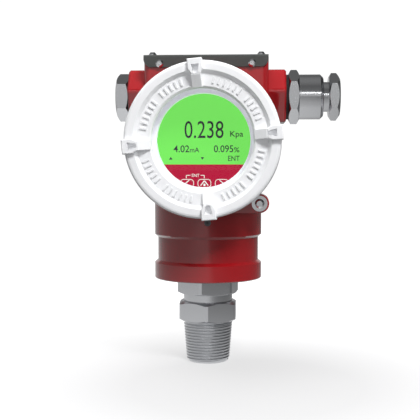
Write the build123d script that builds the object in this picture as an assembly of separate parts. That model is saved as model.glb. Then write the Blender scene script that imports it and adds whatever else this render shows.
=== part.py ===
from build123d import *
from math import cos, radians, sin, sqrt, tan
import os

# Pressure transmitter with a round two-chamber housing, in millimetres.
# The origin is the centre of the process thread's lower end, +Z runs up the neck,
# the display faces -Y, the cable gland points to +X and the blanking plug to -X.

# Fits
slip = 0.05                   # radial gap between a piece and the hole that locates it
thread_slip = 0.10            # radial gap of a thread that turns
seal_slip = 0.06              # gap left round an O-ring in its groove
key_slip = 0.25               # gap round a key in its window
ring_lift = 0.02              # gap under an O-ring in its groove
over = 1.0                    # how far a cut runs past the face it opens

# Pan heads, as shares of the head's width or height
head_edge_share = 0.45
head_crown_share = 0.30
recess_width_share = 0.16
recess_length_share = 0.56
recess_depth_share = 0.5

# Chamfered ends of the hexagons: how far inside the flats each end's circle lies
hexagon_slope = 30.0
hexagon_turn = 30.0
adapter_hex_cuts = (0.6, 0.6)
sensor_hex_cuts = (0.1, 0.3)
plug_hex_cuts = (0.1, 0.2)
gland_hex_cuts = (0.1, 0.2)
nut_hex_cuts = (0.4, 0.9)
sensor_hex_slope = 25.0
nut_hex_slope = 34.0
adapter_hex_edge = 0.5
sensor_hex_edge = 0.4

# Process adapter: taper thread, hexagon and spigot, turned in one piece
thread_length = 20.0
thread_small_dia = 20.9
thread_big_dia = 24.0
thread_chamfer = 1.2
adapter_flats = 27.0
adapter_hex_length = 9.7
adapter_spigot_dia = 17.8
adapter_spigot_length = 6.8
port_dia = 8.0
adapter_gasket_thick = 0.6
adapter_gasket_margin = 1.0

# Sensor body: neck, hexagon and threaded spigot, turned in one piece
sensor_neck_dia = 23.7
sensor_neck_length = 3.6
sensor_flats = 27.0
sensor_hex_length = 7.7
sensor_hex_turn = 19.2
sensor_spigot_dia = 26.0
sensor_spigot_length = 15.0
sensor_throat_dia = 12.0
sensor_throat_length = 2.6
cell_dia = 19.0
cell_length = 8.0
cell_rim_width = 3.0
cell_rim_depth = 0.5
cell_header_margin = 1.0
cell_header_height = 1.5
cell_pin_count = 4
cell_pin_circle = 3.0
cell_pin_dia = 0.8
cell_pin_length = 3.0
cell_o_ring_dia = 1.6
cell_retainer_grip = 1.0
cell_retainer_hole_dia = 12.0
cell_retainer_length = 3.0
cell_slot_width = 2.0
cell_slot_depth = 1.0
neck_seal_width = 2.0
neck_seal_depth = 1.5
neck_seal_offset = 2.2

# Window of the front cover, which the sizes round it follow
window_dia = 45.0
window_chamfer = 0.9
window_lip = 2.7
glass_seat = 3.1
glass_thick = 6.0
glass_edge = 0.4
gasket_thick = 0.5
gasket_setback = 0.4
retainer_grip = 0.7
retainer_length = 4.0
retainer_hole_gap = 0.3
retainer_slot_width = 3.0
retainer_slot_depth = 1.5

# Covers
front_cover_depth = 12.0
rear_cover_depth = 8.0
rear_cover_wall = 4.0
cover_wall = 5.0
cover_draft = 0.4
cover_edge_radius = 1.6
cover_edge_angles = (30.0, 60.0, 90.0)
cover_foot_chamfer = 0.3
cover_foot_height = 1.2
rear_corner_width = 1.5
cover_turn = 5.3
spigot_wall = 3.6
spigot_length = 8.0
spigot_chamfer = 0.5
mark_ring_width = 6.4
ring_step_width = 1.5
ring_step_depth = 1.8
cover_seal_width = 1.8
cover_seal_depth = 1.1
cover_seal_offset = 0.8

# Spanner lugs on the covers
lug_count = 4
lug_overhang = 0.2
lug_width = 6.5
lug_head_length = 4.6
lug_foot_margin = 0.5
lug_rise = 2.0
lug_skirt = 6.0
lug_edge = 0.35
rib_width = 4.1
rib_drop = 0.2
rib_edge = 0.3
rib_toe = 0.5
rib_window_gap = 0.3
pocket_outer_width = 3.4
pocket_inner_width = 1.7
pocket_length = 3.9
pocket_margin = 2.6
pocket_depth = 2.6

# Raised bars on the mark ring, in two groups between each pair of lugs
bar_length = 3.0
bar_width = 0.85
bar_rise = 0.55
bar_root = 0.2
bar_margin = 1.0
bar_turn = 5.4
first_bar_count = 5
first_bar_turn = 26.0
second_bar_count = 6
second_bar_turn = 60.5

# Housing neck with its two bands and the groove between them
neck_height = 65.5
neck_inset = 6.5
neck_groove_depth = 1.55
lower_band_height = 7.7
groove_height = 12.35
neck_step_height = 1.3
neck_edge = 0.4
neck_top_drop = 12.0
neck_bore_margin = 1.5
passage_dia = 16.0
passage_top_wall = 9.0
slant_hole_dia = 9.0
slant_hole_run = 19.0
slant_hole_rise = 16.72

# Barrel with the two threaded rims
rim_offset = 33.0
rim_setback = 0.4
rim_width = 4.6
rim_taper = 2.6
rim_edge = 0.4
barrel_wall = 3.9
chamber_step = 1.5
cover_thread_depth = 9.0
partition_front = -12.5
partition_thick = 3.0
tap_floor = 0.6               # wall left under the partition's tapped holes
tap_end_gap = 0.2             # room between a screw's end and that wall

# Saddle with the two conduit bosses
conduit_rise = 21.9
saddle_rise = 17.5
saddle_foot_rise = 5.5
saddle_inset = 3.2
saddle_half_depth = 17.0
saddle_corner_radius = 3.0
saddle_fillet = 1.5
boss_half_height = 12.6
boss_half_flat = 7.2
boss_crease_depth = 14.5
boss_crease_rise = 2.1
boss_length = 8.3
boss_vertex_radius = 2.2
boss_end_chamfer = 0.8
conduit_thread_dia = 20.0
conduit_thread_depth = 11.0
conduit_way_dia = 16.0
conduit_way_start = 4.0
boss_seat_margin = 0.9
boss_seat_depth = 1.7

# Display module
display_face = -26.5
display_gap = 0.8
display_wall = 1.1
display_lip = 0.5
display_lip_reach = 0.6
display_skirt = 1.2
display_flange_gap = 0.5
display_flange_thick = 1.6
panel_thick = 2.2
key_panel_height = 13.8
board_thick = 1.6
board_gap = 0.8
board_cells = 14              # layout cells from the board's middle to its rim
# Tallest parts on the main board in layout cells: x, z, width, height, rise
board_parts = ((-4.5, 4, 6, 4.5, 1.2), (4.5, 5, 4, 4, 1.0), (3, -4, 7, 3.5, 1.5), (-6, -4, 3, 4.5, 1.6))
board_seat_height = 2.0
board_seat_dia = 5.0
module_screw_margin = 1.45
module_screw_angles = (90.0, 210.0, 330.0)
module_screw_dia = 1.8
module_screw_head_dia = 2.4
module_screw_head = 1.4
module_head_gap = 0.15
module_head_notch = 6.0
module_screw_bite = 1.5
module_post_dia = 3.4
key_width = 6.4
key_gap = 1.5
key_margin = 3.2
key_height = 4.0
key_corner_radius = 1.6
key_thick = 1.4
key_proud = 0.25
key_step = 0.5
key_foot_thick = 0.35
key_foot_gap = 0.05
key_dome_dia = 4.0
key_dome_height = 0.35

# Terminal chamber
block_height = 17.0
block_depth = 11.0
block_drop = 3.0
block_shelf = 4.5
block_ear_width = 6.0
block_lid_height = 4.0
block_lid_step = 2.0
terminal_count = 4
terminal_wall = 1.8
terminal_slot_width = 6.2
terminal_slot_margin = 3.0
terminal_slot_depth = 4.0
terminal_offset = 1.5
terminal_screw_dia = 3.0
terminal_screw_head_dia = 5.2
terminal_screw_head = 2.0
terminal_screw_bite = 4.5
terminal_tap_gap = 0.5
clamp_thick = 0.8
clamp_gap = 0.2
block_screw_dia = 2.6
block_screw_head_dia = 4.6
block_screw_head = 1.8
feed_through_dia = 9.0
feed_through_rise = 8.4
feed_flange_width = 0.8
feed_flange_thick = 1.0
feed_pin_dia = 1.0
feed_pin_circle = 2.4
feed_pin_count = 4
feed_pin_reach = 3.0
inner_ground_x = -19.0
inner_ground_drop = 16.0

# Blanking plug
plug_flats = 20.0
plug_head_gap = 0.3
plug_head_length = 6.0
plug_seal_dia = 1.4
plug_seal_groove = 0.5
shank_length = 9.5

# Cable gland
gland_flats = 22.6
gland_hex_length = 5.0
gland_seal_proud = 1.3
gland_seal_dia = 21.5
gland_barrel_dia = 21.5
gland_barrel_length = 11.5
gland_barrel_chamfer = 1.4
gland_way_dia = 9.0
gland_socket_depth = 15.5
grommet_length = 7.0
grommet_gap = 0.15
grommet_hole_dia = 8.2
slip_ring_thick = 0.8
slip_ring_gap = 0.1
nut_flats = 19.8
nut_hex_length = 5.3
nut_standoff = 2.6
nut_shank_dia = 14.2
nut_shank_length = 7.4
cable_hole_dia = 9.0
cable_hole_chamfer = 1.0

# Top plate, a folded sheet
plate_thick = 1.0
plate_setback = 0.1
plate_drop = 5.8
plate_corner_radius = 3.8
plate_bend_radius = 1.4
plate_screw_inset = 3.5
plate_screw_y = 10.0
plate_screw_dia = 2.4
plate_screw_head_dia = 3.8
plate_screw_head = 2.0
plate_screw_bite = 5.0
flange_screw_inset = 7.7
flange_screw_drop = 4.2
flange_screw_dia = 1.8
flange_screw_head_dia = 3.6
flange_screw_head = 1.2

# Ground lug
ground_gap = 3.0
ground_angle = 48.6
ground_radius = 4.4
ground_front = -26.5
ground_back = -12.0
ground_web_width = 12.1
ground_web_height = 11.0
ground_washer_dia = 7.2
ground_washer_thick = 0.8
ground_screw_dia = 3.0
ground_screw_head_dia = 4.4
ground_screw_head = 2.0
ground_screw_bite = 8.0
ground_tap_gap = 1.0

# Locking set screws
lock_screw_dia = 3.0
lock_socket_flats = 1.3
lock_socket_depth = 2.0
lock_screw_length = 6.0
lock_screw_sink = 0.2
cover_lock_x = 1.3
cover_lock_gap = 2.5
housing_lock_rise = 4.0

# Sizes that follow from the ones above, up the neck
adapter_top = thread_length + adapter_hex_length
sensor_hex_low = adapter_top + sensor_neck_length
housing_base = sensor_hex_low + sensor_hex_length
groove_low = housing_base + lower_band_height + neck_step_height / 2
groove_high = groove_low + groove_height
barrel_axis_height = housing_base + neck_height
cell_retainer_dia = cell_dia + 2 * cell_retainer_grip

# Radii that follow from the window, outwards
glass_radius = window_dia / 2 + glass_seat
retainer_radius = glass_radius + retainer_grip
retainer_hole_radius = window_dia / 2 + retainer_hole_gap
spigot_bore = retainer_radius + thread_slip
spigot_radius = spigot_bore + spigot_wall
cover_radius = spigot_radius + cover_wall
rim_radius = cover_radius - rim_setback
chamber_radius = spigot_radius - chamber_step
barrel_radius = chamber_radius + barrel_wall
neck_band_dia = 2 * (barrel_radius - neck_inset)
neck_groove_dia = neck_band_dia - 2 * neck_groove_depth
saddle_half_width = barrel_radius - saddle_inset
mark_ring_radius = window_dia / 2 + mark_ring_width
ring_inner_radius = mark_ring_radius + ring_step_width
lug_reach = cover_radius + lug_overhang
lug_shoulder = lug_reach - lug_head_length
lug_foot = mark_ring_radius - lug_foot_margin
pocket_outer = lug_reach - pocket_margin
pocket_inner = pocket_outer - pocket_length
bar_middle = mark_ring_radius - bar_margin - bar_length / 2

# Saddle, bosses and what screws into them
conduit_height = barrel_axis_height + conduit_rise
saddle_top = conduit_height + saddle_rise
saddle_bottom = barrel_axis_height + saddle_foot_rise
boss_end = saddle_half_width + boss_length
boss_seat_dia = conduit_thread_dia + 2 * boss_seat_margin
shank_radius = conduit_thread_dia / 2 - thread_slip
gland_hex_start = gland_seal_proud
gland_barrel_start = gland_hex_start + gland_hex_length
gland_end = gland_barrel_start + gland_barrel_length
gland_socket_dia = nut_shank_dia + thread_slip
gland_socket_floor = gland_end - gland_socket_depth
grommet_end = gland_socket_floor + grommet_length
nut_start = gland_end + nut_standoff
nut_nose = nut_start - nut_shank_length
plate_half_width = saddle_half_width - plate_setback
plate_top = saddle_top + plate_thick
plate_screw_x = saddle_half_width - plate_screw_inset
flange_screw_x = saddle_half_width - flange_screw_inset
flange_screw_height = plate_top - flange_screw_drop

# Display module and the boards behind it, from front to back
display_frame_radius = spigot_bore - display_gap
display_radius = display_frame_radius - display_wall
display_lip_radius = display_radius - display_lip_reach
display_flange_radius = chamber_radius - display_flange_gap
board_radius = chamber_radius - board_gap
module_screw_circle = display_flange_radius - module_screw_margin
panel_back = display_face + panel_thick
board_front_back = panel_back + board_thick
module_flange_back = board_front_back + display_skirt
module_flange_front = module_flange_back - display_flange_thick
main_board_back = partition_front - board_seat_height
main_board_front = main_board_back - board_thick
partition_back = partition_front + partition_thick
panel_bottom = barrel_axis_height - display_radius
panel_split = panel_bottom + key_panel_height
key_middle_height = panel_bottom + key_margin + key_height / 2

# Terminal block
terminal_pitch = terminal_slot_width + terminal_wall
clamp_width = terminal_slot_width - 2 * clamp_gap
block_core_width = terminal_count * terminal_pitch + terminal_wall
block_width = block_core_width + 2 * block_ear_width

# Places on the partition, the neck and the lug
block_centre_height = barrel_axis_height - block_drop
feed_through_height = barrel_axis_height - chamber_radius + feed_through_rise
inner_ground_height = barrel_axis_height - inner_ground_drop
ground_x = (cover_radius + ground_gap) * cos(radians(ground_angle))
ground_z = barrel_axis_height - (cover_radius + ground_gap) * sin(radians(ground_angle))
cover_lock_height = barrel_axis_height - cover_radius - cover_lock_gap
housing_lock_height = housing_base + housing_lock_rise

# Planes that face the way each group of pieces points
FRONT = Plane(origin=(0, -rim_offset, barrel_axis_height), x_dir=(1, 0, 0), z_dir=(0, -1, 0))
REAR = Plane(origin=(0, rim_offset, barrel_axis_height), x_dir=(-1, 0, 0), z_dir=(0, 1, 0))
PLUG_SIDE = Plane(origin=(-boss_end, 0, conduit_height), x_dir=(0, -1, 0), z_dir=(-1, 0, 0))
GLAND_SIDE = Plane(origin=(boss_end, 0, conduit_height), x_dir=(0, 1, 0), z_dir=(1, 0, 0))


def placed(plane, shape):
    """Move a shape drawn about the origin onto a plane."""
    return plane.location * shape


def turned(points):
    """Revolve a closed outline of (radius, height) points about Z."""
    outline = make_face(Polyline(*points, close=True))
    return revolve(Plane.XZ * outline, axis=Axis.Z)


def rod(radius, low, high):
    """A cylinder about Z between two heights."""
    return Pos(0, 0, low) * extrude(Circle(radius), high - low)


def ring(outer, inner, low, high):
    """A plain ring about Z between two heights."""
    return Pos(0, 0, low) * extrude(Circle(outer) - Circle(inner), high - low)


def block(size_x, size_y, low, high):
    """A box centred on Z between two heights."""
    return Pos(0, 0, low) * extrude(Rectangle(size_x, size_y), high - low)


def across_y(shape, y, x=0.0, z=0.0):
    """Stand a shape drawn about Z so that its height runs along -Y from y."""
    return Plane(origin=(x, y, z), x_dir=(1, 0, 0), z_dir=(0, -1, 0)).location * shape


def hexagon(flats, low, high, turn, cuts, slope=hexagon_slope, edge=0.0):
    """A hexagon bar about Z with turned chamfers on its ends and turned upright edges."""
    corner = flats / sqrt(3)
    bar = Pos(0, 0, low) * extrude(Rot(0, 0, turn) * RegularPolygon(corner, 6), high - low)
    outer = corner - edge
    low_radius = flats / 2 - cuts[0]
    high_radius = flats / 2 - cuts[1]
    low_rise = (outer - low_radius) * tan(radians(slope))
    high_rise = (outer - high_radius) * tan(radians(slope))
    points = [(0, low), (low_radius, low), (outer, low + low_rise)]
    points += [(outer, high - high_rise), (high_radius, high), (0, high)]
    return bar & turned(points)


def o_ring(inner, outer, height):
    """A round-section ring that fits between two radii."""
    section = (outer - inner) / 2
    return Pos(0, 0, height) * Torus((outer + inner) / 2, section)


def pan_screw(shank_dia, head_dia, head_height, bite, recess=True):
    """A pan head screw about Z: the head stands on z = 0 and the shank goes down."""
    edge = head_height * head_edge_share
    crown = head_dia * head_crown_share
    points = [(0, -bite), (shank_dia / 2, -bite), (shank_dia / 2, 0), (head_dia / 2, 0)]
    points += [(head_dia / 2, edge), (crown, head_height), (0, head_height)]
    screw = turned(points)
    if recess:
        width = head_dia * recess_width_share
        length = head_dia * recess_length_share
        floor = head_height * (1 - recess_depth_share)
        screw -= block(length, width, floor, head_height + over)
        screw -= block(width, length, floor, head_height + over)
    return screw


def set_screw():
    """A headless screw about Z with a hexagon socket, its outer end at z = 0."""
    screw = rod(lock_screw_dia / 2, -lock_screw_length, 0)
    socket = extrude(RegularPolygon(lock_socket_flats / sqrt(3), 6), lock_socket_depth)
    return screw - Pos(0, 0, -lock_socket_depth) * socket


def process_adapter():
    """Taper thread, hexagon and spigot with the pressure port through all of it."""
    small = thread_small_dia / 2
    points = [(0, 0), (small - thread_chamfer, 0), (small, thread_chamfer)]
    points += [(thread_big_dia / 2, thread_length), (0, thread_length)]
    body = turned(points)
    cuts = adapter_hex_cuts
    body += hexagon(adapter_flats, thread_length, adapter_top, hexagon_turn, cuts, edge=adapter_hex_edge)
    body += rod(adapter_spigot_dia / 2, adapter_top, adapter_top + adapter_spigot_length)
    return body - rod(port_dia / 2, -over, adapter_top + adapter_spigot_length + over)


def adapter_gasket():
    """Flat ring on the end of the adapter's spigot."""
    low = adapter_top + adapter_spigot_length
    inner = port_dia / 2 + adapter_gasket_margin
    return ring(adapter_spigot_dia / 2 - slip, inner, low, low + adapter_gasket_thick)


def sensor_levels():
    """Heights inside the sensor body: socket floor, cell seat, cell top, retainer top."""
    socket_floor = adapter_top + adapter_spigot_length + adapter_gasket_thick
    seat = socket_floor + sensor_throat_length
    cell_top = seat + cell_o_ring_dia + cell_length
    return socket_floor, seat, cell_top, cell_top + cell_retainer_length


def sensor_body():
    """Neck, hexagon and the spigot that the housing turns on."""
    socket_floor, seat, cell_top, _ = sensor_levels()
    spigot = sensor_spigot_dia / 2
    top = housing_base + sensor_spigot_length
    seal_low = housing_base + neck_seal_offset
    body = rod(sensor_neck_dia / 2, adapter_top, sensor_hex_low)
    low = sensor_hex_low
    cuts = sensor_hex_cuts
    slope = sensor_hex_slope
    body += hexagon(sensor_flats, low, housing_base, sensor_hex_turn, cuts, slope, sensor_hex_edge)
    body += rod(spigot, housing_base, top)
    body -= ring(spigot + over, spigot - neck_seal_depth, seal_low, seal_low + neck_seal_width)
    body -= rod(adapter_spigot_dia / 2 + slip, adapter_top - over, socket_floor)
    body -= rod(sensor_throat_dia / 2, socket_floor - over, seat + over)
    body -= rod(cell_dia / 2 + slip, seat, cell_top)
    return body - rod(cell_retainer_dia / 2 + slip, cell_top, top + over)


def cell_seal():
    """O-ring under the pressure cell."""
    _, seat, _, _ = sensor_levels()
    outer = cell_dia / 2 - seal_slip
    return o_ring(outer - cell_o_ring_dia, outer, seat + cell_o_ring_dia / 2)


def pressure_cell():
    """Sensing capsule: a thin diaphragm rim below and a header with pins above."""
    _, seat, cell_top, _ = sensor_levels()
    low = seat + cell_o_ring_dia
    body = rod(cell_dia / 2, low, cell_top)
    body -= rod(cell_dia / 2 - cell_rim_width, low - over, low + cell_rim_depth)
    header_top = cell_top + cell_header_height
    body += rod(cell_retainer_hole_dia / 2 - cell_header_margin, cell_top, header_top)
    pin = Pos(cell_pin_circle, 0, 0) * rod(cell_pin_dia / 2, header_top, header_top + cell_pin_length)
    for index in range(cell_pin_count):
        body += Rot(0, 0, index * 360 / cell_pin_count) * pin
    return body


def cell_retainer():
    """Threaded ring that holds the cell down, with two spanner slots."""
    _, _, low, high = sensor_levels()
    body = ring(cell_retainer_dia / 2, cell_retainer_hole_dia / 2, low, high)
    return body - block(cell_retainer_dia + over, cell_slot_width, high - cell_slot_depth, high + over)


def neck_seal():
    """O-ring in the groove of the sensor body's spigot."""
    spigot = sensor_spigot_dia / 2
    height = housing_base + neck_seal_offset + neck_seal_width / 2
    return o_ring(spigot - neck_seal_depth, spigot, height)


def neck_outer():
    """Turned outside of the housing's neck: two bands with a groove between them."""
    band = neck_band_dia / 2
    groove = neck_groove_dia / 2
    step = neck_step_height / 2
    top = barrel_axis_height - neck_top_drop
    points = [(0, housing_base), (band - neck_edge, housing_base), (band, housing_base + neck_edge)]
    points += [(band, groove_low - step), (groove, groove_low + step)]
    points += [(groove, groove_high - step), (band, groove_high + step), (band, top), (0, top)]
    return turned(points)


def barrel_outer():
    """Outside of the barrel about its own axis, with a thicker rim at each end."""
    body = barrel_radius
    inner_rim = rim_offset - rim_width
    points = [(0, -rim_offset), (rim_radius - rim_edge, -rim_offset)]
    points += [(rim_radius, rim_edge - rim_offset), (rim_radius, -inner_rim)]
    points += [(body, -inner_rim + rim_taper)]
    points += [(body, inner_rim - rim_taper), (rim_radius, inner_rim)]
    points += [(rim_radius, rim_offset - rim_edge), (rim_radius - rim_edge, rim_offset), (0, rim_offset)]
    return across_y(turned(points), 0, 0, barrel_axis_height)


def saddle_outer():
    """Box over the barrel, rounded on its upright and top side edges."""
    width = 2 * saddle_half_width
    depth = 2 * saddle_half_depth
    box = Pos(0, 0, saddle_bottom) * extrude(Rectangle(width, depth), saddle_top - saddle_bottom)
    box = fillet(box.edges().filter_by(Axis.Z), saddle_corner_radius)
    return box


def conduit_boss(side):
    """Six-sided boss with a crease along each cheek and a chamfered end, pointing to one side."""
    reach = boss_end - saddle_half_width + saddle_corner_radius
    half_flat = boss_half_flat
    corners = [(-half_flat, -boss_half_height), (half_flat, -boss_half_height)]
    corners += [(boss_crease_depth, boss_crease_rise), (half_flat, boss_half_height)]
    corners += [(-half_flat, boss_half_height), (-boss_crease_depth, boss_crease_rise)]
    section = make_face(Polyline(*[(x, side * y) for x, y in corners], close=True))
    section = fillet(section.vertices(), boss_vertex_radius)
    boss = extrude(section, reach)
    boss = chamfer(boss.faces().sort_by(Axis.Z)[-1].edges(), boss_end_chamfer)
    start = saddle_half_width - saddle_corner_radius
    plane = Plane(origin=(side * start, 0, conduit_height), x_dir=(0, 1, 0), z_dir=(side, 0, 0))
    return placed(plane, boss)


def ground_lug():
    """Round lug beside the neck, on a web with a flat lower edge."""
    length = ground_back - ground_front
    lug = across_y(rod(ground_radius, 0, length), ground_back, ground_x, ground_z)
    low = ground_z - ground_radius
    middle = ground_x - ground_web_width / 2
    web = Pos(middle, (ground_front + ground_back) / 2, low + ground_web_height / 2)
    return lug + web * Box(ground_web_width, length, ground_web_height)


def chamber_cuts():
    """Both chambers with their threaded mouths, about the barrel's axis."""
    thread = spigot_radius + thread_slip
    mouth = rim_offset - cover_thread_depth
    cuts = across_y(rod(chamber_radius, 0, rim_offset), partition_front, 0, barrel_axis_height)
    entry = rod(thread, 0, cover_thread_depth + over)
    rear = rim_offset + over
    cuts += across_y(entry, -mouth, 0, barrel_axis_height)
    cuts += across_y(rod(chamber_radius, 0, rear - partition_back), rear, 0, barrel_axis_height)
    return cuts + across_y(entry, rear, 0, barrel_axis_height)


def conduit_cuts(plane):
    """Threaded entry in one boss and the way on into the rear chamber."""
    cuts = rod(conduit_thread_dia / 2, -conduit_thread_depth, over)
    cuts += rod(boss_seat_dia / 2, -boss_seat_depth, over)
    cuts += rod(conduit_way_dia / 2, conduit_way_start - boss_end, -conduit_thread_depth)
    return placed(plane, cuts)


def passage_top():
    """Height at which the upright passage in the neck ends, under the chambers."""
    return barrel_axis_height - chamber_radius - passage_top_wall


def neck_cuts():
    """Bore for the sensor body and the way up into the front chamber."""
    spigot = sensor_spigot_dia / 2 + thread_slip
    cuts = rod(spigot, housing_base - over, housing_base + sensor_spigot_length + neck_bore_margin)
    cuts += rod(passage_dia / 2, housing_base, passage_top())
    low = Vector(0, 0, passage_top() - slant_hole_dia / 2)
    high = low + Vector(0, -slant_hole_run, slant_hole_rise)
    slant = Plane(origin=low, z_dir=(high - low).normalized())
    return cuts + slant.location * rod(slant_hole_dia / 2, 0, (high - low).length)


def module_places():
    """Places of the three display module screws as (x, z)."""
    places = []
    for angle in module_screw_angles:
        x = module_screw_circle * cos(radians(angle))
        z = barrel_axis_height + module_screw_circle * sin(radians(angle))
        places.append((x, z))
    return places


def screw_holes():
    """Holes in the housing for every screw that goes into it."""
    holes = []
    module = rod(module_screw_dia / 2 + slip, -module_screw_bite, board_seat_height + over)
    for x, z in module_places():
        holes.append(across_y(module, partition_front, x, z))
    plate = rod(plate_screw_dia / 2 + slip, -plate_screw_bite, over)
    flange = rod(flange_screw_dia / 2 + slip, -plate_screw_bite, over)
    for side in (-1, 1):
        for y in (-plate_screw_y, plate_screw_y):
            holes.append(Pos(side * plate_screw_x, y, saddle_top) * plate)
        hole = across_y(flange, -saddle_half_depth, side * flange_screw_x, flange_screw_height)
        holes.append(hole)
        holes.append(Rot(0, 0, 180) * hole)
    ground = rod(ground_screw_dia / 2 + slip, -ground_screw_bite, over)
    holes.append(across_y(ground, ground_front, ground_x, ground_z))
    lock = rod(lock_screw_dia / 2 + slip, -lock_screw_length, 2 * over)
    holes.append(across_y(lock, lock_screw_sink - neck_band_dia / 2, cover_lock_x, cover_lock_height))
    holes.append(Rot(0, 0, 180) * holes[-1])
    reach = neck_band_dia / 2 - sensor_spigot_dia / 2
    through = rod(lock_screw_dia / 2 + slip, -reach - over, 2 * over)
    holes.append(Rot(0, 0, 180) * across_y(through, -neck_band_dia / 2, 0, housing_lock_height))
    return holes


def terminal_holes():
    """Holes in the partition for the terminal block, the feed-through and the inner ground."""
    tap = rod(block_screw_dia / 2 + slip, -over, partition_thick - tap_floor)
    holes = [across_y(tap, partition_back, x, z) for x, z in block_ears()]
    holes.append(across_y(tap, partition_back, inner_ground_x, inner_ground_height))
    way = rod(feed_through_dia / 2 + slip, -over, partition_thick + over)
    holes.append(across_y(way, partition_back, 0, feed_through_height))
    return holes


def board_seats():
    """Three cast seats for the main board on the front of the partition."""
    seat = rod(board_seat_dia / 2, 0, board_seat_height)
    return [across_y(seat, partition_front, x, z) for x, z in module_places()]


def housing():
    """The casting: neck, barrel, saddle, bosses and ground lug, with all its bores."""
    barrel = barrel_outer()
    saddle = saddle_outer()
    body = barrel + saddle
    body = fillet(new_edges(barrel, saddle, combined=body), saddle_fillet)
    body += neck_outer()
    body += conduit_boss(-1)
    body += conduit_boss(1)
    body += ground_lug()
    body -= chamber_cuts()
    chamber = across_y(rod(chamber_radius, 0, board_seat_height), partition_front, 0, barrel_axis_height)
    for seat in board_seats():
        body += seat & chamber
    body -= conduit_cuts(PLUG_SIDE)
    body -= conduit_cuts(GLAND_SIDE)
    body -= neck_cuts()
    for hole in screw_holes() + terminal_holes():
        body -= hole
    return body


def cover_profile(depth, has_window):
    """Outline of a cover about its own axis: z = 0 is the housing rim, outwards is up."""
    side = cover_radius
    top_side = cover_radius - cover_draft
    edge = cover_edge_radius
    mark = depth - ring_step_depth
    tip = -spigot_length
    seal_high = -cover_seal_offset
    seal_low = seal_high - cover_seal_width
    seal_floor = spigot_radius - cover_seal_depth
    points = [(spigot_bore, tip), (spigot_radius - spigot_chamfer, tip)]
    points += [(spigot_radius, tip + spigot_chamfer)]
    points += [(spigot_radius, seal_low), (seal_floor, seal_low)]
    points += [(seal_floor, seal_high), (spigot_radius, seal_high), (spigot_radius, 0)]
    points += [(side - cover_foot_chamfer, 0), (side, cover_foot_chamfer)]
    points += [(side, cover_foot_height), (top_side, depth - edge)]
    for angle in cover_edge_angles:
        turn = radians(angle)
        points.append((top_side - edge + edge * cos(turn), depth - edge + edge * sin(turn)))
    points += [(ring_inner_radius, depth), (mark_ring_radius, mark)]
    if has_window:
        window = window_dia / 2
        points += [(window + window_chamfer, mark), (window, mark - window_chamfer)]
        points += [(window, mark - window_lip), (spigot_bore, mark - window_lip)]
    else:
        inside = mark - rear_cover_wall
        points += [(0, mark), (0, inside), (spigot_bore - rear_corner_width, inside)]
        points += [(spigot_bore, inside - rear_corner_width)]
    return points


def lug(depth):
    """One spanner lug towards +Y: a head with a pocket and a rib that runs inwards."""
    high = depth + lug_rise
    half = lug_width / 2
    foot = rib_width / 2
    outline = [(-half, lug_reach), (half, lug_reach), (half, lug_shoulder), (foot, lug_foot)]
    outline += [(-foot, lug_foot), (-half, lug_shoulder)]
    head = extrude(make_face(Polyline(*outline, close=True)), lug_skirt + lug_rise)
    head = Pos(0, 0, depth - lug_skirt) * head
    head = chamfer(head.faces().sort_by(Axis.Z)[-1].edges(), lug_edge)
    outer = pocket_outer_width / 2
    inner = pocket_inner_width / 2
    hollow = [(-outer, pocket_outer), (outer, pocket_outer)]
    hollow += [(inner, pocket_inner), (-inner, pocket_inner)]
    pocket = extrude(make_face(Polyline(*hollow, close=True)), pocket_depth + over)
    mark = depth - ring_step_depth
    top = high - rib_drop
    end = window_dia / 2 + rib_window_gap
    slope = [(lug_foot + over, mark - over), (lug_foot + over, top), (lug_foot - rib_edge, top)]
    slope += [(end, mark + rib_toe), (end, mark - over)]
    rib = extrude(Plane.YZ * make_face(Polyline(*slope, close=True)), foot, both=True)
    return head + rib, Pos(0, 0, high - pocket_depth) * pocket


def bars(depth):
    """Short raised bars on the mark ring between the lugs."""
    mark = depth - ring_step_depth
    bar = extrude(Rectangle(bar_length, bar_width), bar_rise + bar_root)
    bar = Pos(bar_middle, 0, mark - bar_root) * bar
    groups = ((first_bar_count, first_bar_turn), (second_bar_count, second_bar_turn))
    turns = []
    for quarter in range(lug_count):
        for count, middle in groups:
            for index in range(count):
                offset = (index - (count - 1) / 2) * bar_turn
                turns.append(quarter * 360 / lug_count + cover_turn + middle + offset)
    return [Rot(0, 0, turn) * bar for turn in turns]


def cover(depth, has_window):
    """A cover casting about Z with its lugs and bars."""
    body = turned(cover_profile(depth, has_window))
    head, pocket = lug(depth)
    turns = [cover_turn + index * 360 / lug_count for index in range(lug_count)]
    for turn in turns:
        body += Rot(0, 0, turn) * head
    for turn in turns:
        body -= Rot(0, 0, turn) * pocket
    for bar in bars(depth):
        body += bar
    return body


def cover_seal():
    """O-ring in the groove of a cover's spigot, about Z."""
    height = -cover_seal_offset - cover_seal_width / 2
    inner = spigot_radius - cover_seal_depth + ring_lift
    return o_ring(inner, spigot_radius, height)


def window_levels():
    """Heights behind the window lip: gasket top, glass top, glass bottom, retainer bottom."""
    lip = front_cover_depth - ring_step_depth - window_lip
    glass_top = lip - gasket_thick
    glass_low = glass_top - glass_thick
    return lip, glass_top, glass_low, glass_low - retainer_length


def window_gasket():
    """Flat gasket between the window lip and the glass."""
    lip, glass_top, _, _ = window_levels()
    return ring(glass_radius, window_dia / 2 + gasket_setback, glass_top, lip)


def window_glass():
    """Round glass with chamfered edges."""
    _, high, low, _ = window_levels()
    radius = glass_radius
    edge = glass_edge
    points = [(0, low), (radius - edge, low), (radius, low + edge)]
    points += [(radius, high - edge), (radius - edge, high), (0, high)]
    return turned(points)


def window_retainer():
    """Threaded ring behind the glass with two spanner slots."""
    _, _, high, low = window_levels()
    body = ring(retainer_radius, retainer_hole_radius, low, high)
    length = 2 * retainer_radius + over
    return body - block(length, retainer_slot_width, low - over, low + retainer_slot_depth)


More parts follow.
